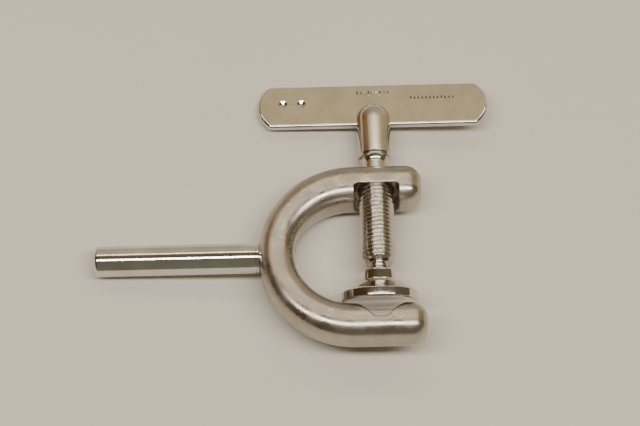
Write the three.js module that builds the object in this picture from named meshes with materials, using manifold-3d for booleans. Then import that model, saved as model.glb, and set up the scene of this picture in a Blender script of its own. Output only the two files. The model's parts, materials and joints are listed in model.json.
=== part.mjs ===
// Screw C-clamp with a support rod, lying at rest on its rod, its screw head and its swivel pad.
// Millimetres, +Z up. In the clamp's own axes the screw runs along Y with its handle at +Y,
// the rod runs along X towards -X, and the C lies in the XY plane around the origin.
import * as THREE from 'three';
import { mergeVertices } from 'three/addons/utils/BufferGeometryUtils.js';
import Module from 'manifold-3d';

const wasm = await Module();
wasm.setup();

// Driving dimensions
const GAP = 0.3; // play left between pieces that touch
const OVERRUN = 2; // how far a cutter reaches past the surface it cuts
const BREAK = 0.6; // small chamfer that takes the sharpness off a turned edge
const frame = {
  depth: 21, // across the C, along Z
  outerRadius: 43.1,
  upperInnerRadius: 24.4, // from the C's centre to the inner side of each arm
  lowerInnerRadius: 25.8,
  backInnerRadius: 27,
  arcCentreX: -11.1, // the C's centre, seen from the screw axis
  tipX: 21, // end of both arms
  cornerRadius: 6.2,
};
const thread = { major: 8, minor: 6.75, pitch: 2, top: 42.5, bottom: -2.5, sides: 24 };
const threadPlay = 0.4; // radial play in the tapped arm
const recess = { radius: 10.2, floorY: 32.2 }; // in the upper arm's inner side, open at +Z
const notch = { flatHalfWidth: 2.65, depth: 8.5 }; // 90 degree V across the lower arm
const rod = { radius: 7, tipX: -128.5, edgeRadius: 1.6, spigotRadius: 5, spigotLength: 8 };
const spotFace = { radius: 7.4, depth: 0.9 }; // flat seat for the rod's shoulder
const neck = { radius: 5.8, top: 46.2, filletRadius: 3.6 };
const head = { baseY: 50.2, baseRadius: 7.6, radius: 8.1, domeY: 70 };
const bar = {
  length: 108,
  width: 22,
  thickness: 3.6,
  centreY: 77.7,
  endRadius: 13.5, // of the bowed ends
  cornerRadius: 2.6, // where an end meets a long edge
  edge: 0.8, // rounding of the rim
};
const waist = { radius: 3.6, beadRadius: 4.3, beadY: -6.2, beadHalfWidth: 0.8 };
const ball = { y: -12, radius: 5.3 };
const ring = { wireRadius: 0.42, radius: 5.3 }; // sits in a groove round the ball's middle
const pad = {
  tilt: THREE.MathUtils.degToRad(13.5), // how far the loose pad flops towards the table
  bossTop: -4.4, // distances from the ball's centre towards the pad's face
  bossBase: 1,
  rimStart: 6.4,
  face: 10.8,
  bossTopRadius: 7.3,
  bossRadius: 7.8,
  shoulderRadius: 1.2,
  rimRadius: 17.6,
  crown: 0.8, // bulge of the flange between the boss and the rim
  edge: 0.5,
};

const backX = frame.arcCentreX - frame.outerRadius;

// Geometry helpers

// Keeps only positions, shares equal corners and drops the empty triangles at a lathe's poles.
function weld(geometry) {
  const bare = geometry.clone();
  for (const name of ['normal', 'uv']) bare.deleteAttribute(name);
  const merged = mergeVertices(bare, 1e-5);
  const index = Array.from(merged.index.array);
  const kept = [];
  for (let i = 0; i < index.length; i += 3) {
    const [a, b, c] = index.slice(i, i + 3);
    if (a !== b && b !== c && c !== a) kept.push(a, b, c);
  }
  merged.setIndex(kept);
  return merged;
}

function signedVolume(geometry) {
  const corner = [new THREE.Vector3(), new THREE.Vector3(), new THREE.Vector3()];
  const { position } = geometry.attributes;
  let sum = 0;
  for (let i = 0; i < geometry.index.count; i += 3) {
    corner.forEach((v, k) => v.fromBufferAttribute(position, geometry.index.getX(i + k)));
    sum += corner[0].dot(corner[1].cross(corner[2]));
  }
  return sum / 6;
}

// Turns a closed geometry into a solid, with its faces pointing out.
function solid(geometry) {
  const closed = weld(geometry);
  const triangles = Array.from(closed.index.array);
  if (signedVolume(closed) < 0) triangles.reverse();
  return new wasm.Manifold(new wasm.Mesh({
    numProp: 3,
    vertProperties: Float32Array.from(closed.attributes.position.array),
    triVerts: Uint32Array.from(triangles),
  }));
}

function geometryOf(manifold) {
  const mesh = manifold.getMesh();
  const geometry = new THREE.BufferGeometry();
  geometry.setAttribute('position', new THREE.BufferAttribute(mesh.vertProperties, 3));
  geometry.setIndex(new THREE.BufferAttribute(mesh.triVerts, 1));
  const flat = geometry.toNonIndexed();
  flat.computeVertexNormals();
  return flat;
}

// Points [radius, y] turned about the Y axis.
function turned(points, sides) {
  return new THREE.LatheGeometry(points.map(([r, y]) => new THREE.Vector2(r, y)), sides);
}

// An arc between two directions, as [radius, y] points around a centre.
function roundPoints(centreR, centreY, radius, fromDegrees, toDegrees, steps) {
  return Array.from({ length: steps + 1 }, (_, i) => {
    const angle = THREE.MathUtils.degToRad(fromDegrees + (toDegrees - fromDegrees) * i / steps);
    return [centreR + radius * Math.cos(angle), centreY + radius * Math.sin(angle)];
  });
}

// A solid bounded by stacked rings of equal point counts, closed by a fan at each end.
function lofted(rings) {
  const count = rings[0].length;
  const points = rings.flat();
  const triangles = [];
  for (let r = 0; r + 1 < rings.length; r += 1) {
    for (let i = 0; i < count; i += 1) {
      const a = r * count + i;
      const b = r * count + (i + 1) % count;
      triangles.push(a, b, a + count, b, b + count, a + count);
    }
  }
  for (const [start, flip] of [[0, true], [(rings.length - 1) * count, false]]) {
    const centre = new THREE.Vector3();
    for (let i = 0; i < count; i += 1) centre.addScaledVector(points[start + i], 1 / count);
    const middle = points.push(centre) - 1;
    for (let i = 0; i < count; i += 1) {
      const a = start + i;
      const b = start + (i + 1) % count;
      triangles.push(middle, ...(flip ? [b, a] : [a, b]));
    }
  }
  const geometry = new THREE.BufferGeometry().setFromPoints(points);
  geometry.setIndex(triangles);
  return geometry;
}

// A right-hand V thread about Y: two rows of points for each pitch, crest and root in turn.
// Both ends follow the helix and close on the axis, so they are trimmed square afterwards.
function helicalSolid(crestRadius, rootRadius, fromY, toY) {
  const rows = 2 * Math.ceil((toY - fromY) / thread.pitch) + 4;
  const { sides, pitch } = thread;
  const points = [];
  for (let row = 0; row < rows; row += 1) {
    const radius = row % 2 === 0 ? crestRadius : rootRadius;
    for (let side = 0; side < sides; side += 1) {
      const turn = side / sides;
      const angle = turn * 2 * Math.PI;
      const y = fromY + (row / 2 - 1 - turn) * pitch;
      points.push(new THREE.Vector3(radius * Math.cos(angle), y, radius * Math.sin(angle)));
    }
  }
  // one whole turn later the helix has dropped by two rows
  const at = (row, side) => (side < sides ? row * sides + side : (row - 2) * sides);
  const triangles = [];
  for (let row = 2; row + 1 < rows; row += 1) {
    for (let side = 0; side < sides; side += 1) {
      const [a, b] = [at(row, side), at(row, side + 1)];
      const [c, d] = [at(row + 1, side), at(row + 1, side + 1)];
      triangles.push(a, c, b, b, c, d);
    }
  }
  for (const [row, flip] of [[2, false], [rows - 1, true]]) {
    const loop = Array.from({ length: sides + 1 }, (_, side) => at(row, side));
    loop.push(at(row - 1, 0));
    const y = points[at(row, 0)].y - pitch / 2;
    const middle = points.push(new THREE.Vector3(0, y, 0)) - 1;
    loop.forEach((a, i) => {
      const b = loop[(i + 1) % loop.length];
      triangles.push(middle, ...(flip ? [b, a] : [a, b]));
    });
  }
  const geometry = new THREE.BufferGeometry().setFromPoints(points);
  geometry.setIndex(triangles);
  return solid(geometry);
}

// The same geometry, shifted.
function moved(geometry, x, y, z) {
  geometry.translate(x, y, z);
  return geometry;
}

// The frame: a rounded section led round the C, then cut for the screw, the V and the rod

const smallestCorner = 0.4; // of the section's corners at the very end of an arm

// One section ring: outwards is the direction from the C's inside to its outside.
function sectionRing(centre, outwards, inner, outer, inset) {
  const halfThickness = (outer - inner) / 2 - inset;
  const halfDepth = frame.depth / 2 - inset;
  const corner = Math.max(frame.cornerRadius - inset, smallestCorner);
  const middle = centre.clone().addScaledVector(outwards, (inner + outer) / 2);
  const ringPoints = [];
  for (const [sideN, sideZ, start] of [[1, 1, 0], [-1, 1, 90], [-1, -1, 180], [1, -1, 270]]) {
    for (let step = 0; step <= 4; step += 1) {
      const angle = THREE.MathUtils.degToRad(start + step * 22.5);
      const n = sideN * (halfThickness - corner) + corner * Math.cos(angle);
      const z = sideZ * (halfDepth - corner) + corner * Math.sin(angle);
      const point = middle.clone().addScaledVector(outwards, n);
      point.z += z;
      ringPoints.push(point);
    }
  }
  return ringPoints;
}

function frameBody() {
  const { upperInnerRadius, lowerInnerRadius, backInnerRadius } = frame;
  const arcSteps = 36;
  const roundSteps = 4;
  const armTip = (side, innerRadius) => Array.from({ length: roundSteps + 1 }, (_, i) => {
    const angle = (i / roundSteps) * Math.PI / 2;
    const inset = frame.cornerRadius * (1 - Math.sin(angle));
    const x = frame.tipX - frame.cornerRadius * (1 - Math.cos(angle));
    const outwards = new THREE.Vector3(0, side, 0);
    const centre = new THREE.Vector3(x, 0, 0);
    return sectionRing(centre, outwards, innerRadius, frame.outerRadius, inset);
  });
  const back = Array.from({ length: arcSteps + 1 }, (_, i) => {
    const angle = Math.PI / 2 + (i / arcSteps) * Math.PI;
    const outwards = new THREE.Vector3(Math.cos(angle), Math.sin(angle), 0);
    const arms = THREE.MathUtils.lerp(lowerInnerRadius, upperInnerRadius, (outwards.y + 1) / 2);
    const inner = THREE.MathUtils.lerp(arms, backInnerRadius, outwards.x ** 2);
    const centre = new THREE.Vector3(frame.arcCentreX, 0, 0);
    return sectionRing(centre, outwards, inner, frame.outerRadius, 0);
  });
  const upperTip = armTip(1, upperInnerRadius);
  const lowerTip = armTip(-1, lowerInnerRadius).reverse();
  return solid(lofted([...upperTip, ...back, ...lowerTip]));
}

// The helix overruns the given length at both ends, ready to be trimmed.
function threadHelix(play) {
  const { major, minor, top, bottom } = thread;
  return helicalSolid(major + play, minor + play, bottom - OVERRUN, top + 3 * OVERRUN);
}

function tappedHole() {
  const length = frame.outerRadius - recess.floorY + OVERRUN;
  const middleY = (frame.outerRadius + recess.floorY) / 2;
  const radius = thread.major + threadPlay;
  const window = new THREE.CylinderGeometry(1.5 * radius, 1.5 * radius, length, thread.sides);
  const mouth = new THREE.CylinderGeometry(radius + 1.5, radius - 0.5, OVERRUN, thread.sides);
  return threadHelix(threadPlay)
    .intersect(solid(moved(window, 0, middleY, 0)))
    .add(solid(moved(mouth, 0, frame.outerRadius, 0)));
}

// A round recess whose sides run straight on to +Z, so that it is open on that side.
function screwRecess() {
  const height = recess.floorY - frame.upperInnerRadius + 2 * OVERRUN;
  const across = frame.depth / 2 + OVERRUN;
  const middleY = recess.floorY - height / 2;
  const round = new THREE.CylinderGeometry(recess.radius, recess.radius, height, 40);
  const side = new THREE.BoxGeometry(2 * recess.radius, height, across);
  return solid(moved(round, 0, middleY, 0)).add(solid(moved(side, 0, middleY, across / 2)));
}

function vNotch() {
  const bottomY = -frame.lowerInnerRadius - notch.depth;
  const reach = notch.depth + 2 * OVERRUN;
  const outline = new THREE.Shape([
    new THREE.Vector2(-notch.flatHalfWidth, bottomY),
    new THREE.Vector2(notch.flatHalfWidth, bottomY),
    new THREE.Vector2(notch.flatHalfWidth + reach, bottomY + reach),
    new THREE.Vector2(-notch.flatHalfWidth - reach, bottomY + reach),
  ]);
  const across = frame.depth + 2 * OVERRUN;
  const prism = new THREE.ExtrudeGeometry(outline, { depth: across, bevelEnabled: false });
  return solid(moved(prism, 0, 0, -across / 2));
}

function rodSocket() {
  const boreEnd = backX + spotFace.depth + rod.spigotLength + 2 * GAP;
  const profile = [
    [0, backX - OVERRUN],
    [spotFace.radius, backX - OVERRUN],
    [spotFace.radius, backX + spotFace.depth],
    [rod.spigotRadius + GAP, backX + spotFace.depth],
    [rod.spigotRadius + GAP, boreEnd],
    [0, boreEnd],
  ];
  return solid(turned(profile, 32).rotateZ(-Math.PI / 2));
}

function frameGeometry() {
  const cuts = [tappedHole(), screwRecess(), vNotch(), rodSocket()];
  return geometryOf(cuts.reduce((body, cut) => body.subtract(cut), frameBody()));
}

// The rod, turned about X: rounded tip, plain shank, shoulder and spigot
function rodGeometry() {
  const { radius, tipX, edgeRadius, spigotRadius, spigotLength } = rod;
  const shoulderX = backX + spotFace.depth - GAP;
  const spigotEnd = shoulderX + spigotLength;
  const profile = [
    [0, tipX],
    ...roundPoints(radius - edgeRadius, tipX + edgeRadius, edgeRadius, -90, 0, 4),
    [radius, shoulderX - BREAK],
    [radius - BREAK, shoulderX],
    [spigotRadius, shoulderX],
    [spigotRadius, spigotEnd - BREAK],
    [spigotRadius - BREAK, spigotEnd],
    [0, spigotEnd],
  ];
  return geometryOf(solid(turned(profile, 32).rotateZ(-Math.PI / 2)));
}

// The screw: threaded length, neck and slotted bullet head above, beaded waist and ball below
function threadedLength() {
  const { major, minor, top, bottom } = thread;
  const chamfer = major - minor + 0.5;
  const blankRadius = major + 0.1;
  const blank = turned([
    [0, bottom - chamfer],
    [major - chamfer, bottom - chamfer],
    [blankRadius, bottom],
    [blankRadius, top - chamfer],
    [major - chamfer, top],
    [0, top],
  ], 32);
  return threadHelix(0).intersect(solid(blank));
}

function screwHead() {
  const footY = thread.top - 3; // buried in the threaded length
  return solid(turned([
    [0, footY],
    [neck.radius, footY],
    [neck.radius, neck.top],
    ...roundPoints(neck.radius + neck.filletRadius, neck.top, neck.filletRadius, 180, 122, 5),
    [head.baseRadius, head.baseY],
    ...roundPoints(0, head.domeY, head.radius, 0, 84, 7),
    [0, head.domeY + head.radius],
  ], 32));
}

function handleSlot() {
  const slotBottom = bar.centreY - bar.width / 2 - GAP;
  const height = head.domeY + head.radius + OVERRUN - slotBottom;
  const slot = new THREE.BoxGeometry(4 * head.radius, height, bar.thickness + 2 * GAP);
  return solid(moved(slot, 0, slotBottom + height / 2, 0));
}

function ballEnd() {
  const neckAngle = THREE.MathUtils.radToDeg(Math.acos(waist.radius / ball.radius));
  const grooveRadius = ring.radius - ring.wireRadius - GAP;
  const grooveHalf = ring.wireRadius + GAP;
  const grooveAngle = THREE.MathUtils.radToDeg(Math.asin(grooveHalf / ball.radius));
  const footY = thread.bottom + 1; // buried in the threaded length
  return solid(turned([
    [0, ball.y - ball.radius],
    ...roundPoints(0, ball.y, ball.radius, -80, -grooveAngle, 6),
    [grooveRadius, ball.y - grooveHalf],
    [grooveRadius, ball.y + grooveHalf],
    ...roundPoints(0, ball.y, ball.radius, grooveAngle, neckAngle, 5),
    [waist.radius, waist.beadY - waist.beadHalfWidth - 0.3],
    [waist.beadRadius, waist.beadY - waist.beadHalfWidth + 0.3],
    [waist.beadRadius, waist.beadY + waist.beadHalfWidth - 0.3],
    [waist.radius, waist.beadY + waist.beadHalfWidth + 0.3],
    [waist.radius, footY],
    [0, footY],
  ], 24));
}

function screwGeometry() {
  const body = threadedLength().add(screwHead()).add(ballEnd());
  return geometryOf(body.subtract(handleSlot()));
}

// The handle: a flat bar with a rounded rim and bowed ends, centred in the head's slot.
// The outline is drawn a rim's width inside the bar, and the rim grows out of it.
function barGeometry() {
  const halfWidth = bar.width / 2 - bar.edge;
  const endRadius = bar.endRadius - bar.edge;
  const corner = bar.cornerRadius - bar.edge;
  const endX = bar.length / 2 - bar.edge - endRadius;
  const cornerX = endX + Math.sqrt((endRadius - corner) ** 2 - (halfWidth - corner) ** 2);
  const meeting = Math.atan2(halfWidth - corner, cornerX - endX);
  const quarter = Math.PI / 2;
  const outline = new THREE.Shape();
  outline.absarc(cornerX, corner - halfWidth, corner, -quarter, -meeting);
  outline.absarc(endX, 0, endRadius, -meeting, meeting);
  outline.absarc(cornerX, halfWidth - corner, corner, meeting, quarter);
  outline.absarc(-cornerX, halfWidth - corner, corner, quarter, Math.PI - meeting);
  outline.absarc(-endX, 0, endRadius, Math.PI - meeting, Math.PI + meeting);
  outline.absarc(-cornerX, corner - halfWidth, corner, Math.PI + meeting, 3 * quarter);
  const plate = new THREE.ExtrudeGeometry(outline, {
    depth: bar.thickness - 2 * bar.edge,
    bevelThickness: bar.edge,
    bevelSize: bar.edge,
    bevelSegments: 2,
    curveSegments: 6,
  });
  const lift = bar.edge - bar.thickness / 2;
  return geometryOf(solid(moved(plate, 0, bar.centreY, lift)));
}

// The pad's own axes have the ball's centre as origin and the face towards -Y
function flangePoints(steps) {
  return Array.from({ length: steps + 1 }, (_, i) => {
    const t = 1 - i / steps;
    const radius = THREE.MathUtils.lerp(pad.bossRadius, pad.rimRadius - pad.edge, t);
    const depth = THREE.MathUtils.lerp(pad.bossBase, pad.rimStart, t);
    return [radius, 4 * pad.crown * t * (1 - t) - depth];
  });
}

function padGeometry() {
  const { bossTop, rimStart, face, bossTopRadius, shoulderRadius, rimRadius, edge } = pad;
  const bore = ball.radius + 0.25;
  const swing = ring.radius * Math.sin(pad.tilt) + ring.wireRadius + GAP; // room for the ring
  const grooveRadius = ring.radius + ring.wireRadius + GAP;
  const seat = { top: -ball.radius + 2, floor: -ball.radius - GAP };
  const profile = [
    [0, -face],
    [rimRadius - edge, -face],
    [rimRadius, edge - face],
    [rimRadius, -rimStart - edge],
    ...flangePoints(6),
    ...roundPoints(bossTopRadius - shoulderRadius, -bossTop - shoulderRadius, shoulderRadius, 0, 84, 4),
    [bore + GAP, -bossTop],
    [bore, swing],
    [grooveRadius, swing],
    [grooveRadius, -swing],
    [bore, -swing],
    [bore, seat.top],
    [bore + seat.floor - seat.top, seat.floor],
    [0, seat.floor],
  ];
  return geometryOf(solid(turned(profile, 48)));
}

// The wire ring that holds the pad on the ball
function ringGeometry() {
  const wire = roundPoints(ring.radius, ball.y, ring.wireRadius, 0, 360, 8);
  return geometryOf(solid(turned(wire, 32)));
}

// Assembly
function chrome(color, roughness) {
  return new THREE.MeshStandardMaterial({ color, roughness, metalness: 1 });
}

function piece(name, geometry, material) {
  const mesh = new THREE.Mesh(geometry, material);
  mesh.name = name;
  return mesh;
}

const clamp = new THREE.Group();
clamp.add(piece('c_frame', frameGeometry(), chrome('#b9b5ac', 0.28)));
clamp.add(piece('support_rod', rodGeometry(), chrome('#cbc8c2', 0.08)));
clamp.add(piece('clamp_screw', screwGeometry(), chrome('#bdb8ae', 0.12)));
clamp.add(piece('handle_bar', barGeometry(), chrome('#c8c5bf', 0.06)));

const swivel = new THREE.Group();
swivel.position.set(0, ball.y, 0);
swivel.rotation.x = pad.tilt;
swivel.add(piece('swivel_pad', padGeometry(), chrome('#c3c0ba', 0.08)));
clamp.add(swivel);
clamp.add(piece('retaining_ring', ringGeometry(), chrome('#8f8c86', 0.35)));

// Resting attitude: the plane under the rod's tip, the head's dome and the pad's rim.
// For a given up direction each of the three touches at its lowest point.
function restingUp() {
  const up = new THREE.Vector3(0, 0, 1);
  const padAxis = new THREE.Vector3(0, Math.cos(pad.tilt), Math.sin(pad.tilt));
  const padRim = new THREE.Vector3(0, ball.y, 0).addScaledVector(padAxis, pad.edge - pad.face);
  const rodEnd = new THREE.Vector3(rod.tipX + rod.edgeRadius, 0, 0);
  const rimLowest = (centre, axis, radius) => {
    const sideways = up.clone().addScaledVector(axis, -up.dot(axis)).normalize();
    return centre.clone().addScaledVector(sideways, -radius);
  };
  for (let pass = 0; pass < 20; pass += 1) {
    const onPad = rimLowest(padRim, padAxis, pad.rimRadius);
    const onRod = rimLowest(rodEnd, new THREE.Vector3(1, 0, 0), rod.radius);
    const onHead = new THREE.Vector3(0, head.domeY, 0).addScaledVector(up, -head.radius);
    up.crossVectors(onPad.sub(onRod), onHead.sub(onRod)).normalize();
  }
  return up;
}

const up = restingUp();
const along = new THREE.Vector3(1, 0, 0).addScaledVector(up, -up.x).normalize();
const across = new THREE.Vector3().crossVectors(up, along);
const attitude = new THREE.Matrix4().makeBasis(along, across, up).transpose();
clamp.setRotationFromMatrix(attitude);

// The origin is the middle of the base of the box round the resting clamp
const part = new THREE.Group();
part.add(clamp);
part.updateMatrixWorld(true);
const bounds = new THREE.Box3().setFromObject(part, true);
const centre = bounds.getCenter(new THREE.Vector3());
clamp.position.set(-centre.x, -centre.y, -bounds.min.z);
part.updateMatrixWorld(true);

export default part;
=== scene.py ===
"""Chromed screw C-clamp with a support rod and a flat bar handle, lying on a pale table.

Each piece is drawn in millimetres in the clamp's own axes: the screw runs along Y with the handle
at +Y, the rod runs towards -X, and the C lies in the XY plane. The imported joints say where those
axes are in the frame, so every piece lands on its CAD node.
"""
import json
import math

import bpy
import numpy as np
from mathutils import Matrix, Vector, noise


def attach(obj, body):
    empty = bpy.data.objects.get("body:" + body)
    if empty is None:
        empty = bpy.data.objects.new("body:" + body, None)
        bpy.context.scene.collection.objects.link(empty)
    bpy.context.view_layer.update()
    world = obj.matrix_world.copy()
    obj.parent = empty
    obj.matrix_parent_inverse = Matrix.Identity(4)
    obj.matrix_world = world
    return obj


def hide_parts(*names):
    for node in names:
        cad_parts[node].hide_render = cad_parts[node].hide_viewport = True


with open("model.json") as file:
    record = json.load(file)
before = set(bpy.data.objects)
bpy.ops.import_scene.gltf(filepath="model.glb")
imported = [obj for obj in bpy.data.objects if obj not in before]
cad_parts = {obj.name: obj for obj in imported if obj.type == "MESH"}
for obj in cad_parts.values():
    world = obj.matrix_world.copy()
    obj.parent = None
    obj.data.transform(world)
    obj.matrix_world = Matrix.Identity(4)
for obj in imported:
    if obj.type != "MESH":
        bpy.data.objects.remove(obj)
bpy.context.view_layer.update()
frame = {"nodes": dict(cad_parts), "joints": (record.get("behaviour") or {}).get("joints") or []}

# The clamp's own axes, from the screw's and the pad's joints
joints = {j["name"]: j for j in frame["joints"]}
screw_joint, tilt_joint = joints["screw_spin"], joints["pad_tilt"]
axis_y = Vector(screw_joint["axis"]).normalized()
axis_x = Vector(tilt_joint["axis"]).normalized()
axis_z = axis_x.cross(axis_y)
origin = Vector(screw_joint["pos_m"])
BASIS = Matrix((axis_x, axis_y, axis_z)).transposed()
TO_FRAME = Matrix.Translation(origin) @ BASIS.to_4x4() @ Matrix.Scale(0.001, 4)
BALL_Y = (Vector(tilt_joint["pos_m"]) - origin).dot(axis_y) * 1000

# Sizes in millimetres, a hair inside the CAD solids
SKIN = 0.05  # how far inside
ARC_X = -11.1
OUTER = 43.1 - SKIN
UPPER_INNER, LOWER_INNER, BACK_INNER = 24.4 + SKIN, 25.8 + SKIN, 27 + SKIN
HALF_DEPTH = 10.5 - SKIN
CORNER = 6.2
CROWN, TIP_ROUND = 1.1, 7.6
FORGING_VOXEL, FORGING_PASSES = 0.4, 4
SWELL, RIPPLE, SWELL_INSET = 0.05, 0.012, 0.06
SWELL_SCALE, RIPPLE_SCALE = 110, 450  # per metre
TIP_X = 21 - SKIN
BORE_PLAY, BORE_START, BORE_CHAMFER = 0.4, 20, 2.0
RECESS_RADIUS, RECESS_FLOOR, RECESS_EDGE = 10.2, 32.2, 1
WINDOW_EDGE, WINDOW_HALF_DEPTH = 1.6, 7
NOTCH_HALF, NOTCH_DEPTH, NOTCH_ROUND = 2.65, 8.5, 2.2
ROD_RADIUS, ROD_TIP, ROD_EDGE = 7 - SKIN, -128.5 + SKIN, 1.6
ROD_SEAT = ARC_X - 43.1 + 0.9  # where the rod's shoulder meets the C
SPIGOT_RADIUS, SPIGOT_LENGTH, SPIGOT_EDGE = 5, 8, 0.6
ROD_PLAY = 0.3
SOCKET_RADIUS, SPOT_FACE_RADIUS = SPIGOT_RADIUS + ROD_PLAY, 7.4
THREAD_MAJOR, THREAD_MINOR, PITCH = 8 - SKIN, 6.8, 2.0
THREAD_TOP, THREAD_BOTTOM = 42.5, -2.5
THREAD_CHAMFER = THREAD_MAJOR - THREAD_MINOR + 0.5
THREAD_STEP = 0.1
NECK_RADIUS, NECK_TOP, NECK_FILLET = 5.8, 46.2, 3.6
HEAD_BASE_Y, HEAD_BASE, HEAD_RADIUS, DOME_Y = 50.2, 7.6, 8.1 - SKIN, 70
BAR_Y, BAR_LENGTH, BAR_WIDTH, BAR_THICK = 77.7, 108 - 2 * SKIN, 22 - 2 * SKIN, 3.6
BAR_END, BAR_CORNER, BAR_EDGE = 13.5, 2.6, 1.2
SLOT_PLAY, SLOT_REACH, SLOT_TOP = 0.3, 20, 90
MARK_DEPTH, MARK_TAPER, MARK_ABOVE = 0.9, 0.2, 0.2
WAIST, BEAD, BEAD_ROUND, BEAD_Y = 3.6, 4.3, 0.8, -6.2
BALL_RADIUS, BALL_PLAY = 5.3, 0.25
RING_RADIUS, GROOVE_HALF, GROOVE_RADIUS, RING_RECESS = 5.3, 0.72, 4.58, 6.02
PAD_TILT = math.radians(13.5)
PAD_TOP, PAD_BASE, PAD_RIM, PAD_FACE = -4.4, 1.0, 6.4, 10.8
PAD_BOSS_TOP, PAD_BOSS, PAD_RADIUS, PAD_CROWN = 7.3, 7.8, 17.6 - SKIN, 0.8
PAD_SHOULDER, PAD_RIM_ROUND, PAD_FACE_ROUND, PAD_DISH = 1.2, 0.5, 0.9, 0.3
BORE_DEPTH = 5.6  # how far the pad's bore goes below the ball's middle

# Points round each turned piece, and the angle in degrees above which its edges stay sharp
SCREW_SIDES, ROD_SIDES, PAD_SIDES, TOOL_SIDES = 160, 160, 192, 128
FRAME_SHARP, SCREW_SHARP, TURNED_SHARP, BAR_SHARP = 70, 50, 32, 17


# Mesh helpers

def make_object(name, vertices, faces, matrix=TO_FRAME):
    """An object from millimetre points; matrix takes them into the frame."""
    mesh = bpy.data.meshes.new(name)
    mesh.from_pydata([tuple(v) for v in vertices], [], faces)
    mesh.transform(matrix)
    mesh.update()
    obj = bpy.data.objects.new(name, mesh)
    bpy.context.scene.collection.objects.link(obj)
    return obj


def grid_faces(rows, columns):
    """Quads between rings of equal point counts, each ring closed."""
    faces = []
    for r in range(rows - 1):
        for c in range(columns):
            n = (c + 1) % columns
            here, beyond = r * columns, (r + 1) * columns
            faces.append((here + c, here + n, beyond + n, beyond + c))
    return faces


def loft(rings):
    """A closed solid through rings of points, with a flat cap at each end."""
    columns = len(rings[0])
    faces = grid_faces(len(rings), columns)
    last = (len(rings) - 1) * columns
    faces.append(tuple(reversed(range(columns))))
    faces.append(tuple(last + c for c in range(columns)))
    return np.concatenate(rings), faces


def turned(profile, sides=TOOL_SIDES):
    """A solid turned about Y from (radius, y) points that start and end on the axis."""
    angles = np.arange(sides) * 2 * math.pi / sides
    rings = [
        np.column_stack((r * np.cos(angles), np.full(sides, y), r * np.sin(angles)))
        for r, y in profile[1:-1]
    ]
    vertices = np.concatenate(rings + [[(0, profile[0][1], 0)], [(0, profile[-1][1], 0)]])
    faces = grid_faces(len(rings), sides)
    first, last = len(vertices) - 2, len(vertices) - 1
    base = (len(rings) - 1) * sides
    for c in range(sides):
        n = (c + 1) % sides
        faces.append((first, n, c))
        faces.append((last, base + c, base + n))
    return vertices, faces


def arc(centre_r, centre_y, radius, start, end, steps):
    """Points on an arc in a plane, from one direction in degrees to another."""
    angles = np.radians(np.linspace(start, end, steps + 1))
    return [(centre_r + radius * math.cos(a), centre_y + radius * math.sin(a)) for a in angles]


def outward(obj):
    """Turns the faces outwards."""
    mesh = obj.data
    mesh.calc_loop_triangles()
    corners = np.empty(len(mesh.vertices) * 3)
    triangles = np.empty(len(mesh.loop_triangles) * 3, dtype=np.int32)
    mesh.vertices.foreach_get("co", corners)
    mesh.loop_triangles.foreach_get("vertices", triangles)
    a, b, c = (corners.reshape(-1, 3)[triangles[i::3]] for i in range(3))
    volume = np.sum(a * np.cross(b, c))
    if volume < 0:
        mesh.flip_normals()
    return obj


def cut(obj, *cutters):
    """Cuts the tools out of obj and removes them."""
    for tool in cutters:
        outward(tool)
        modifier = obj.modifiers.new("cut", "BOOLEAN")
        modifier.operation = "DIFFERENCE"
        modifier.solver = "MANIFOLD"
        modifier.object = tool
        apply_modifiers(obj)
        bpy.data.objects.remove(tool)
    return obj


def apply_modifiers(obj):
    """Replaces obj's mesh with the one its modifiers give."""
    evaluated = obj.evaluated_get(bpy.context.evaluated_depsgraph_get())
    mesh = bpy.data.meshes.new_from_object(evaluated)
    obj.modifiers.clear()
    old = obj.data
    obj.data = mesh
    mesh.name = obj.name
    bpy.data.meshes.remove(old)


def smooth(obj, sharp_degrees):
    """Smooth shading, except across edges sharper than the angle."""
    mesh = obj.data
    mesh.polygons.foreach_set("use_smooth", [True] * len(mesh.polygons))
    mesh.set_sharp_from_angle(angle=math.radians(sharp_degrees))
    return obj


def soften(obj, voxel, passes):
    """Rebuilds the surface evenly and rounds its edges, as grinding and polishing do."""
    remesh = obj.modifiers.new("even", "REMESH")
    remesh.mode = "VOXEL"
    remesh.voxel_size = voxel / 1000
    relax = obj.modifiers.new("round", "SMOOTH")
    relax.factor = 0.5
    relax.iterations = passes
    apply_modifiers(obj)


# The forged C-frame

def section(centre, outwards, inner, outer, inset):
    """The frame's rounded section at one place on its path."""
    half = (outer - inner) / 2 - inset
    deep = HALF_DEPTH - inset
    corner = max(CORNER - inset, 0.5)
    middle = np.array(centre) + np.array(outwards) * (inner + outer) / 2
    ring = []
    for side_n, side_z, start in ((1, 1, 0), (-1, 1, 90), (-1, -1, 180), (1, -1, 270)):
        for angle in np.radians(np.linspace(start, start + 90, 9)):
            n = side_n * (half - corner) + corner * math.cos(angle)
            z = side_z * (deep - corner) + corner * math.sin(angle)
            z *= 1 - CROWN / HALF_DEPTH * (n / half) ** 2
            ring.append(middle + np.array(outwards) * n + np.array((0, 0, z)))
    return np.array(ring)


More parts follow.
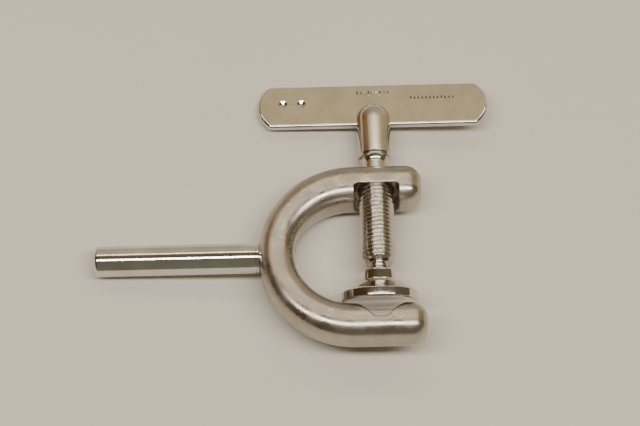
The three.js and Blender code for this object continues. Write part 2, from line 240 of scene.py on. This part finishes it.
def frame_rings():
    """The sections round the C, from the upper arm's tip to the lower arm's."""
    def tip(side, inner):
        angles = np.linspace(0, math.pi / 2, 9)
        return [
            section((TIP_X - TIP_ROUND * (1 - math.cos(a)), 0, 0), (0, side, 0), inner, OUTER,
                    TIP_ROUND * (1 - math.sin(a)))
            for a in angles
        ]

    back = []
    for a in np.linspace(math.pi / 2, 3 * math.pi / 2, 97):
        out = (math.cos(a), math.sin(a), 0)
        arms = LOWER_INNER + (UPPER_INNER - LOWER_INNER) * (out[1] + 1) / 2
        inner = arms + (BACK_INNER - arms) * out[0] ** 2
        back.append(section((ARC_X, 0, 0), out, inner, OUTER, 0))
    return tip(1, UPPER_INNER) + back + tip(-1, LOWER_INNER)[::-1]


def prism(name, outline, half_depth):
    """A solid along Z over an outline of (x, y) points."""
    ring = np.array([(x, y, 0) for x, y in outline])
    return make_object(name, *loft([ring + (0, 0, -half_depth), ring + (0, 0, half_depth)]))


def notch_outline():
    """The 90 degree V with a flat bottom, its mouth rounded into the arm's inner side."""
    top = -LOWER_INNER
    bottom = top - NOTCH_DEPTH
    reach = NOTCH_HALF + NOTCH_DEPTH
    edge_x = reach + NOTCH_ROUND * math.tan(math.radians(22.5))
    mouth = arc(edge_x, top - NOTCH_ROUND, NOTCH_ROUND, 135, 90, 6)
    right = [(NOTCH_HALF, bottom), *mouth, (edge_x, top + 4)]
    return right + [(-x, y) for x, y in reversed(right)]


def screw_bore():
    """The hole in the upper arm that the screw passes through, chamfered outside."""
    radius = THREAD_MAJOR + BORE_PLAY
    chamfer_start = OUTER - 0.8
    chamfer_end = chamfer_start + BORE_CHAMFER
    return make_object("bore", *turned(
        [(0, BORE_START), (radius, BORE_START), (radius, chamfer_start),
         (THREAD_MAJOR + BORE_PLAY + BORE_CHAMFER, chamfer_end), (0, chamfer_end)]))


def recess_tools():
    """The round recess under the upper arm, and the window that opens it on the +Z side."""
    low = UPPER_INNER - 3
    side = RECESS_RADIUS
    edge = RECESS_EDGE
    recess = make_object("recess", *turned(
        [(0, low), (side, low), *arc(side - edge, RECESS_FLOOR - edge, edge, 0, 90, 4),
         (0, RECESS_FLOOR)]))
    corner = arc(side - WINDOW_EDGE, RECESS_FLOOR - WINDOW_EDGE, WINDOW_EDGE, 0, 90, 5)
    outline = [(side, low), *corner, *[(-x, y) for x, y in reversed(corner)], (-side, low)]
    window = prism("window", outline, WINDOW_HALF_DEPTH)
    window.data.transform(Matrix.Translation(axis_z * (WINDOW_HALF_DEPTH / 1000)))
    return recess, window


def rod_socket():
    """The spot face on the back of the C and the hole in it for the rod's spigot."""
    start, end = ROD_SEAT - 4, ROD_SEAT + SPIGOT_LENGTH + 0.6
    vertices, faces = turned(
        [(0, start), (SPOT_FACE_RADIUS, start), (SPOT_FACE_RADIUS, ROD_SEAT),
         (SOCKET_RADIUS, ROD_SEAT), (SOCKET_RADIUS, end), (0, end)])
    return make_object("socket", vertices[:, [1, 0, 2]], faces)


def make_frame():
    body = outward(make_object("c_frame_forging", *loft(frame_rings())))
    bore = screw_bore()
    recess, window = recess_tools()
    notch = prism("notch", notch_outline(), HALF_DEPTH + 3)
    cut(body, bore, recess, window, notch, rod_socket())
    soften(body, FORGING_VOXEL, FORGING_PASSES)
    uneven(body)
    return smooth(body, FRAME_SHARP)


def uneven(body):
    """Moves the surface in and out a little, as on a polished forging."""
    count = len(body.data.vertices)
    points, normals = np.empty(count * 3), np.empty(count * 3)
    body.data.vertices.foreach_get("co", points)
    body.data.vertex_normals.foreach_get("vector", normals)
    points, normals = points.reshape(-1, 3), normals.reshape(-1, 3)
    swell = [
        noise.noise(Vector(p) * SWELL_SCALE) * SWELL + noise.noise(Vector(p) * RIPPLE_SCALE) * RIPPLE
        for p in points
    ]
    points += normals * ((np.array(swell) - SWELL_INSET) / 1000)[:, None]
    body.data.vertices.foreach_set("co", points.ravel())
    body.data.update()


# Turned and helical pieces

def make_rod():
    seat = ROD_SEAT - ROD_PLAY
    spigot_end = seat + SPIGOT_LENGTH
    profile = [
        (0, ROD_TIP),
        (ROD_RADIUS - ROD_EDGE - 0.02, ROD_TIP),
        *arc(ROD_RADIUS - ROD_EDGE, ROD_TIP + ROD_EDGE, ROD_EDGE, -90, 0, 10),
        *[(ROD_RADIUS, x) for x in np.linspace(ROD_TIP + ROD_EDGE + 0.1, seat - 2.2, 20)],
        (ROD_RADIUS, seat - 2.0),
        (ROD_RADIUS - 0.35, seat - 1.8),
        (ROD_RADIUS - 0.35, seat - 1.5),
        (ROD_RADIUS, seat - 1.3),
        (ROD_RADIUS, seat - 0.6),
        (ROD_RADIUS - 0.5, seat - 0.1),
        (SPIGOT_RADIUS, seat),
        (SPIGOT_RADIUS, spigot_end - SPIGOT_EDGE),
        (SPIGOT_RADIUS - SPIGOT_EDGE, spigot_end),
        (0, spigot_end),
    ]
    vertices, faces = turned(profile, ROD_SIDES)
    rod = outward(make_object("support_rod_polished", vertices[:, [1, 0, 2]], faces))
    return smooth(rod, TURNED_SHARP)


def thread_radius(y, turn):
    """A right-hand V thread with rounded crests and roots: its radius at a height and a turn."""
    phase = (y / PITCH + turn) % 1.0
    ridge = 1 - np.abs(2 * phase - 1)
    ridge = np.clip((ridge - 0.1) / 0.8, 0, 1)
    ridge = 0.65 * ridge + 0.35 * ridge * ridge * (3 - 2 * ridge)
    return THREAD_MINOR + (THREAD_MAJOR - THREAD_MINOR) * ridge


def screw_profile():
    """(radius, y) points from the ball's end up to the dome: below the thread, along it, above it."""
    neck_angle = math.degrees(math.acos(WAIST / BALL_RADIUS))
    groove_angle = math.degrees(math.asin(GROOVE_HALF / BALL_RADIUS))
    thread_start = THREAD_BOTTOM - THREAD_CHAMFER
    plain_below = [
        (0, BALL_Y - BALL_RADIUS),
        *arc(0, BALL_Y, BALL_RADIUS, -86, -groove_angle, 16),
        (GROOVE_RADIUS, BALL_Y - GROOVE_HALF),
        (GROOVE_RADIUS, BALL_Y + GROOVE_HALF),
        *arc(0, BALL_Y, BALL_RADIUS, groove_angle, neck_angle, 12),
        (WAIST, BEAD_Y - 1.3),
        *arc(BEAD - BEAD_ROUND, BEAD_Y, BEAD_ROUND, -80, 80, 8),
        (WAIST, BEAD_Y + 1.2),
        (WAIST, thread_start - 0.3),
        (WAIST + 0.3, thread_start),
        (THREAD_MAJOR - THREAD_CHAMFER, thread_start),
    ]
    heights = np.arange(thread_start + THREAD_STEP, THREAD_TOP, THREAD_STEP)
    threaded = [(THREAD_MAJOR, y) for y in heights]
    plain_above = [
        (NECK_RADIUS, THREAD_TOP + 0.1),
        *[(NECK_RADIUS, y) for y in np.linspace(THREAD_TOP + 0.3, NECK_TOP, 6)],
        *arc(NECK_RADIUS + NECK_FILLET, NECK_TOP, NECK_FILLET, 176, 122, 12),
        (HEAD_BASE - 0.1, HEAD_BASE_Y - 0.12),
        (HEAD_BASE, HEAD_BASE_Y + 0.05),
        *[(HEAD_BASE + (HEAD_RADIUS - HEAD_BASE) * t, HEAD_BASE_Y + (DOME_Y - HEAD_BASE_Y) * t)
          for t in np.linspace(0.04, 1, 14)],
        *arc(0, DOME_Y, HEAD_RADIUS, 4, 88, 22),
        (0, DOME_Y + HEAD_RADIUS),
    ]
    return plain_below, threaded, plain_above


def make_screw():
    below, threaded, above = screw_profile()
    vertices, faces = turned(below + threaded + above, SCREW_SIDES)
    first = (len(below) - 1) * SCREW_SIDES
    part = vertices[first:first + len(threaded) * SCREW_SIDES]
    turn = np.arctan2(part[:, 2], part[:, 0]) / (2 * math.pi)
    radius = thread_radius(part[:, 1], turn)
    ends = np.minimum(part[:, 1] - THREAD_BOTTOM + THREAD_CHAMFER, THREAD_TOP - part[:, 1])
    radius = np.minimum(radius, THREAD_MAJOR - THREAD_CHAMFER + np.maximum(ends, 0))
    part[:, [0, 2]] *= (radius / np.hypot(part[:, 0], part[:, 2]))[:, None]
    screw = outward(make_object("clamp_screw_turned", vertices, faces))
    slot_bottom = BAR_Y - 11 - SLOT_PLAY
    outline = [(-SLOT_REACH, slot_bottom), (SLOT_REACH, slot_bottom),
               (SLOT_REACH, SLOT_TOP), (-SLOT_REACH, SLOT_TOP)]
    slot = prism("slot", outline, BAR_THICK / 2 + SLOT_PLAY)
    return smooth(cut(screw, slot), SCREW_SHARP)


def pad_profile():
    """(radius, y) points from the middle of the face round to the bottom of the bore."""
    bore = BALL_RADIUS + BALL_PLAY
    swing = RING_RADIUS * math.sin(PAD_TILT) + GROOVE_HALF  # room for the ring as the pad tilts
    flange = []
    for t in np.linspace(1, 0, 16)[1:]:
        radius = PAD_BOSS + (PAD_RADIUS - 0.6 - PAD_BOSS) * t
        depth = PAD_BASE + (PAD_RIM - PAD_BASE) * t
        flange.append((radius, 4 * PAD_CROWN * t * (1 - t) - depth))
    return [
        (0, -PAD_FACE + PAD_DISH),
        (12.5, -PAD_FACE + PAD_DISH),
        (13.1, -PAD_FACE),
        (PAD_RADIUS - 1.0, -PAD_FACE),
        *arc(PAD_RADIUS - PAD_FACE_ROUND, -PAD_FACE + PAD_FACE_ROUND, PAD_FACE_ROUND, -85, 0, 8),
        (PAD_RADIUS, -PAD_RIM - 0.55),
        *arc(PAD_RADIUS - PAD_RIM_ROUND, -PAD_RIM - PAD_RIM_ROUND, PAD_RIM_ROUND, 5, 70, 5),
        *flange,
        (PAD_BOSS - 0.1, -PAD_BASE + 0.15),
        *[(PAD_BOSS - 0.12 + (PAD_BOSS_TOP - PAD_BOSS + 0.12) * t, -PAD_BASE + 0.2 + 3.9 * t)
          for t in np.linspace(0, 1, 8)],
        *arc(PAD_BOSS_TOP - PAD_SHOULDER, -PAD_TOP - PAD_SHOULDER, PAD_SHOULDER, 8, 88, 10),
        (bore + 0.3, -PAD_TOP),
        (bore, swing),
        (RING_RECESS, swing),
        (RING_RECESS, -swing),
        (bore, -swing),
        (bore, -3.3),
        (bore - 2.3, -BORE_DEPTH),
        (0, -BORE_DEPTH),
    ]


def make_pad():
    place = TO_FRAME @ Matrix.Translation((0, BALL_Y, 0)) @ Matrix.Rotation(PAD_TILT, 4, "X")
    pad = outward(make_object("swivel_pad_turned", *turned(pad_profile(), PAD_SIDES), place))
    return smooth(pad, TURNED_SHARP)


# The handle bar

def bar_outline(inset):
    """The bar's outline moved inwards: bowed ends, with a small corner at each long edge."""
    half = BAR_WIDTH / 2 - inset
    end = BAR_END - inset
    corner = BAR_CORNER - inset
    end_x = BAR_LENGTH / 2 - BAR_END
    corner_x = end_x + math.sqrt((end - corner) ** 2 - (half - corner) ** 2)
    meeting = math.degrees(math.atan2(half - corner, corner_x - end_x))
    right = [
        *arc(corner_x, corner - half, corner, -90, -meeting, 6),
        *arc(end_x, 0, end, -meeting, meeting, 28)[1:],
        *arc(corner_x, half - corner, corner, meeting, 90, 6)[1:],
    ]
    return right + [(-x, -y) for x, y in right]


def bar_ring(inset, z):
    """The bar's outline at one height."""
    return np.array([(x, y + BAR_Y, z) for x, y in bar_outline(inset)])


def upright(half_height, half_width=0.45):
    """The corners of a small rectangle."""
    return [(-half_width, -half_height), (half_width, -half_height),
            (half_width, half_height), (-half_width, half_height)]


def stamped_marks():
    """Plain punch marks: two hexagons with a dash between them, and two rows of short bars."""
    hexagon = [(2.7 * math.cos(a), 2.7 * math.sin(a)) for a in np.arange(6) * 2 * math.pi / 6]
    spacing = 1.8
    placed = [(-42.2, 1.2, hexagon), (-33.6, 1.2, hexagon), (-37.9, 1.2, upright(0.4, 1.1))]
    for i in range(9):
        placed.append((-7.2 + spacing * i, 6.4, upright(0.95 if i % 3 else 1.3)))
    for i in range(12):
        placed.append((18 + spacing * i, 3.2, upright(0.9 if i % 4 else 1.3)))
    return [[(x + a, y + b) for a, b in points] for x, y, points in placed]


def punch(name, outline):
    """A tapered tool that presses one mark into the bar's upper face."""
    top = BAR_THICK / 2 + MARK_ABOVE
    mouth = np.array([(x, y + BAR_Y, top) for x, y in outline])
    middle = mouth.mean(axis=0)
    tip = middle + (mouth - middle) * MARK_TAPER - (0, 0, MARK_DEPTH)
    return outward(make_object(name, *loft([tip, mouth])))


def make_bar():
    half = BAR_THICK / 2
    rounded = [
        (BAR_EDGE * (1 - math.cos(a)), half - BAR_EDGE + BAR_EDGE * math.sin(a))
        for a in np.radians(np.linspace(0, 90, 8))
    ]
    flat_inset = BAR_EDGE + 0.15
    rings = [
        bar_ring(flat_inset, -half),
        *[bar_ring(inset, -z) for inset, z in reversed(rounded)],
        *[bar_ring(inset, z) for inset, z in rounded],
        bar_ring(flat_inset, half),
    ]
    bar = outward(make_object("handle_bar_flat", *loft(rings)))
    punches = [punch(f"mark_{i}", outline) for i, outline in enumerate(stamped_marks())]
    bpy.ops.object.select_all(action="DESELECT")
    for mark in punches:
        mark.select_set(True)
    bpy.context.view_layer.objects.active = punches[0]
    bpy.ops.object.join()
    cut(bar, punches[0])
    return smooth(bar, BAR_SHARP)


# Materials

FINE_GRAIN, FORGED_GRAIN = (2600, 0.00004), (1500, 0.00016)  # scale, and height in metres
GRAIN_STRENGTH = 0.35
PIT_SCALE, PIT_HEIGHT = 420, 0.0002
DULL, BRIGHT = 0.86, 1.06  # how the tint varies
ROUGHNESS_LOW, ROUGHNESS_HIGH = 0.75, 1.5  # how the roughness varies


def chrome(name, tint, roughness, grain=FINE_GRAIN, pits=0.0):
    """Plated metal: cloudy tint and roughness, fine grain and, on a forging, small pits."""
    material = bpy.data.materials.new(name)
    material.use_nodes = True
    nodes, links = material.node_tree.nodes, material.node_tree.links
    shader = nodes["Principled BSDF"]
    shader.inputs["Metallic"].default_value = 1.0
    place = nodes.new("ShaderNodeTexCoord")

    def cloud(scale, detail=4.0):
        texture = nodes.new("ShaderNodeTexNoise")
        texture.inputs["Scale"].default_value = scale
        texture.inputs["Detail"].default_value = detail
        links.new(place.outputs["Object"], texture.inputs["Vector"])
        return texture.outputs["Fac"]

    def spread(value, low, high, from_low=0.3, from_high=0.7):
        remap = nodes.new("ShaderNodeMapRange")
        remap.inputs["From Min"].default_value = from_low
        remap.inputs["From Max"].default_value = from_high
        remap.inputs["To Min"].default_value = low
        remap.inputs["To Max"].default_value = high
        links.new(value, remap.inputs["Value"])
        return remap.outputs["Result"]

    colour = nodes.new("ShaderNodeMix")
    colour.data_type = "RGBA"
    colour.inputs["A"].default_value = (*[c * DULL for c in tint], 1)
    colour.inputs["B"].default_value = (*[c * BRIGHT for c in tint], 1)
    links.new(spread(cloud(90), 0, 1), colour.inputs["Factor"])
    links.new(colour.outputs["Result"], shader.inputs["Base Color"])
    links.new(
        spread(cloud(140, 6.0), roughness * ROUGHNESS_LOW, roughness * ROUGHNESS_HIGH),
        shader.inputs["Roughness"])
    bump = nodes.new("ShaderNodeBump")
    grain_scale, grain_height = grain
    bump.inputs["Strength"].default_value = GRAIN_STRENGTH
    bump.inputs["Distance"].default_value = grain_height
    links.new(cloud(grain_scale, 3.0), bump.inputs["Height"])
    normal = bump.outputs["Normal"]
    if pits:
        cells = nodes.new("ShaderNodeTexVoronoi")
        cells.inputs["Scale"].default_value = PIT_SCALE
        cells.inputs["Randomness"].default_value = 1.0
        links.new(place.outputs["Object"], cells.inputs["Vector"])
        hole = spread(cells.outputs["Distance"], 0, 1, 0.06, 0.16)
        dent = nodes.new("ShaderNodeBump")
        dent.inputs["Strength"].default_value = pits
        dent.inputs["Distance"].default_value = PIT_HEIGHT
        links.new(hole, dent.inputs["Height"])
        links.new(normal, dent.inputs["Normal"])
        normal = dent.outputs["Normal"]
    links.new(normal, shader.inputs["Normal"])
    return material


def table_material():
    """A pale, matt surface with a faint cloudiness."""
    material = bpy.data.materials.new("table")
    material.use_nodes = True
    nodes, links = material.node_tree.nodes, material.node_tree.links
    shader = nodes["Principled BSDF"]
    shader.inputs["Roughness"].default_value = 0.6
    shader.inputs["Specular IOR Level"].default_value = 0.2
    texture = nodes.new("ShaderNodeTexNoise")
    texture.inputs["Scale"].default_value = 6
    place = nodes.new("ShaderNodeTexCoord")
    links.new(place.outputs["Object"], texture.inputs["Vector"])
    colour = nodes.new("ShaderNodeMix")
    colour.data_type = "RGBA"
    colour.inputs["A"].default_value = (0.60, 0.545, 0.475, 1)
    colour.inputs["B"].default_value = (0.63, 0.58, 0.51, 1)
    links.new(texture.outputs["Fac"], colour.inputs["Factor"])
    links.new(colour.outputs["Result"], shader.inputs["Base Color"])
    return material


def dress(obj, material):
    """Gives obj its material."""
    obj.data.materials.clear()
    obj.data.materials.append(material)


def stand_in(obj, material, node, body):
    """Puts obj in place of a CAD node, riding on that node's body."""
    dress(obj, material)
    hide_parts(node)
    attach(obj, body)


# The camera looks down on the C from the pad's side
CAMERA_ELEVATION = math.radians(63)  # above the C's plane
CAMERA_ROLL = math.radians(1.4)
CAMERA_DISTANCE = 0.9072
CAMERA_SHIFT = (0.0265, -0.0191)  # how far right of and above the view's centre the screw's axis lies
CAMERA_LENS, CAMERA_SENSOR = 112.5, 36

ahead = axis_y * math.cos(CAMERA_ELEVATION) - axis_z * math.sin(CAMERA_ELEVATION)
level_up = axis_y * math.sin(CAMERA_ELEVATION) + axis_z * math.cos(CAMERA_ELEVATION)
right = axis_x * math.cos(CAMERA_ROLL) - level_up * math.sin(CAMERA_ROLL)
above = axis_x * math.sin(CAMERA_ROLL) + level_up * math.cos(CAMERA_ROLL)
camera = bpy.data.objects.new("camera", bpy.data.cameras.new("camera"))
camera.data.lens = CAMERA_LENS
camera.data.sensor_width = CAMERA_SENSOR
view_centre = origin - right * CAMERA_SHIFT[0] - above * CAMERA_SHIFT[1]
camera.location = view_centre - ahead * CAMERA_DISTANCE
camera.rotation_mode = "QUATERNION"
camera.rotation_quaternion = Matrix((right, above, -ahead)).transposed().to_quaternion()
bpy.context.scene.collection.objects.link(camera)
bpy.context.scene.camera = camera

# Pieces
satin = chrome("satin_chrome", (0.47, 0.425, 0.365), 0.27, FORGED_GRAIN, pits=0.05)
stand_in(make_frame(), satin, "c_frame", "frame")
stand_in(make_rod(), chrome("rod_chrome", (0.74, 0.72, 0.68), 0.06),
         "support_rod", "frame")
stand_in(make_screw(), chrome("screw_chrome", (0.62, 0.58, 0.52), 0.16),
         "clamp_screw", "screw")
stand_in(make_bar(), chrome("bar_chrome", (0.74, 0.72, 0.68), 0.05),
         "handle_bar", "screw")
stand_in(make_pad(), chrome("pad_chrome", (0.7, 0.67, 0.62), 0.07),
         "swivel_pad", "pad")
dress(frame["nodes"]["retaining_ring"], chrome("ring_steel", (0.4, 0.39, 0.37), 0.35))

# Table, lamps and room
bpy.ops.mesh.primitive_plane_add(size=8)
table = bpy.context.object
table.name = "table"
table.data.materials.append(table_material())


def area_light(name, location, size_x, size_y, power, colour):
    """A soft strip light aimed at the middle of the clamp."""
    data = bpy.data.lights.new(name, "AREA")
    data.shape = "RECTANGLE"
    data.size, data.size_y = size_x, size_y
    data.energy = power
    data.color = colour
    light = bpy.data.objects.new(name, data)
    light.location = location
    light.rotation_mode = "QUATERNION"
    light.rotation_quaternion = (LIGHT_TARGET - Vector(location)).to_track_quat("-Z", "Y")
    bpy.context.scene.collection.objects.link(light)


LIGHT_TARGET = Vector((0, -0.05, 0))
area_light("lamp_overhead", (0, -0.17, 1.3), 2.0, 0.2, 24, (1, 0.96, 0.9))
area_light("lamp_behind", (0, 0.72, 1.15), 2.2, 0.1, 3.2, (1, 0.94, 0.85))

world = bpy.data.worlds.new("room")
bpy.context.scene.world = world
world.use_nodes = True
world_nodes, world_links = world.node_tree.nodes, world.node_tree.links
background = world_nodes["Background"]
heading = world_nodes.new("ShaderNodeTexCoord")
parts = world_nodes.new("ShaderNodeSeparateXYZ")
world_links.new(heading.outputs["Generated"], parts.inputs["Vector"])


def room_ramp(axis, stops):
    """The room's colour along one axis, from -1 at position 0 to +1 at position 1."""
    shift = world_nodes.new("ShaderNodeMapRange")
    shift.inputs["From Min"].default_value = -1
    ramp = world_nodes.new("ShaderNodeValToRGB")
    world_links.new(parts.outputs[axis], shift.inputs["Value"])
    world_links.new(shift.outputs["Result"], ramp.inputs["Fac"])
    elements = ramp.color_ramp.elements
    for element, (position, colour) in zip(elements, (stops[0], stops[-1])):
        element.position = position
        element.color = (*colour, 1)
    for position, colour in stops[1:-1]:
        elements.new(position).color = (*colour, 1)
    return ramp.outputs["Color"]


# Dim olive in front and overhead, a tan wall behind, and brown to the left
depth_colour = room_ramp("Y", [
    (0, (0.16, 0.15, 0.11)),
    (0.3, (0.15, 0.14, 0.10)),
    (0.5, (0.12, 0.10, 0.06)),
    (0.68, (0.14, 0.11, 0.07)),
    (0.76, (0.58, 0.46, 0.26)),
    (0.85, (0.56, 0.45, 0.27)),
    (1, (0.40, 0.38, 0.34)),
])
side_colour = room_ramp("X", [(0.1, (0.50, 0.34, 0.24)), (0.42, (1, 1, 1)), (1, (1, 1, 1))])
both = world_nodes.new("ShaderNodeMix")
both.data_type = "RGBA"
both.blend_type = "MULTIPLY"
both.inputs["Factor"].default_value = 1.0
world_links.new(depth_colour, both.inputs["A"])
world_links.new(side_colour, both.inputs["B"])
world_links.new(both.outputs["Result"], background.inputs["Color"])
background.inputs["Strength"].default_value = 1.18
